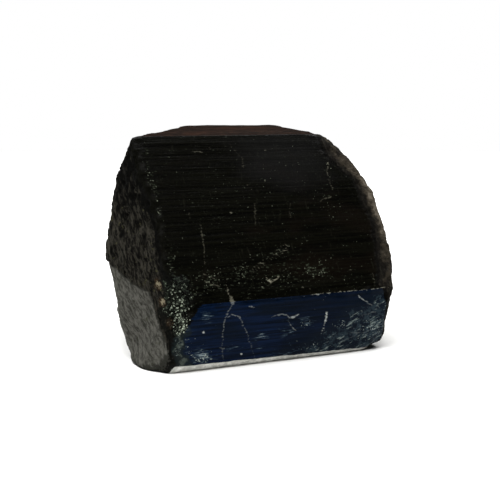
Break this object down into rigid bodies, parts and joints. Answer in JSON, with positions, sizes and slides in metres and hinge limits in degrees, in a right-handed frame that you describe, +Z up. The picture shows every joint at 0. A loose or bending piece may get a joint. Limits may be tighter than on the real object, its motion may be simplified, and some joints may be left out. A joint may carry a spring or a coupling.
{
  "type": "tourmaline crystal",
  "caption": "Broken stub of black tourmaline: ribbed prism with a rounded triangular section, lying on one flat face, with a rough blunt left end and a rough cross break at the right.",
  "frame": {"origin": "middle of the bounding box, on the ground under the crystal", "axes": "+X along the crystal's long axis to the cross break, -Y towards the narrow upright face at the front, +Z up"},
  "size_m": [0.0536, 0.0446, 0.0424],
  "materials": {
    "schorl": "glassy black prism faces with fine ribs along the length, dull and grey on the broken ends",
    "crumbled_grains": "sugary pale grains with a few rusty ones, in the crushed corner at the left"
  },
  "bodies": {
    "root": {"tourmaline_crystal": "schorl"}
  },
  "joints": []
}
